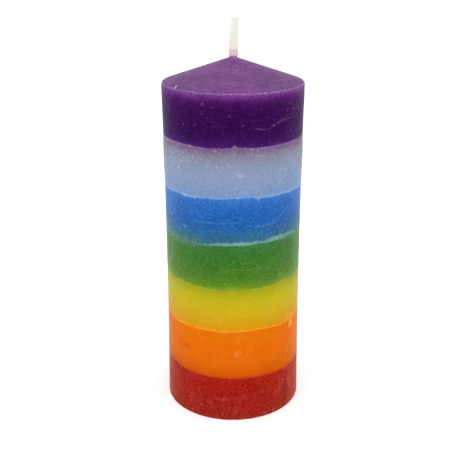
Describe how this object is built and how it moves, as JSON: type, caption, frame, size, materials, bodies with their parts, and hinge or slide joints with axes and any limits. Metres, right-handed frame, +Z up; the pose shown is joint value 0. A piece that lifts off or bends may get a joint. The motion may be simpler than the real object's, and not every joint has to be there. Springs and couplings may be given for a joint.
{
  "type": "pillar candle",
  "caption": "Round pillar candle of stacked coloured wax layers with a low conical top and a short waxed wick that leans a little.",
  "frame": {"origin": "centre of the base, on the surface where the candle stands", "axes": "+Z up along the candle's axis, from the base to the wick's tip; +X the way the wick leans; the picture looks along +Y and down"},
  "size_m": [0.06, 0.06, 0.17],
  "materials": {
    "red_wax": "satin",
    "orange_wax": "satin",
    "yellow_wax": "satin",
    "green_wax": "satin",
    "blue_wax": "satin",
    "pale_blue_wax": "satin",
    "violet_wax": "satin",
    "wick_wax": "satin",
    "wick_cotton": "matte"
  },
  "bodies": {
    "root": {"base_top_up": "red_wax", "red_base_layer": "red_wax", "orange_layer": "orange_wax", "yellow_layer": "yellow_wax", "green_layer": "green_wax", "blue_layer": "blue_wax", "pale_blue_layer": "pale_blue_wax", "violet_tip_layer": "violet_wax", "wick_wax_coat": "wick_wax", "wick_strand_1": "wick_cotton", "wick_strand_2": "wick_cotton", "wick_strand_3": "wick_cotton"}
  },
  "joints": []
}
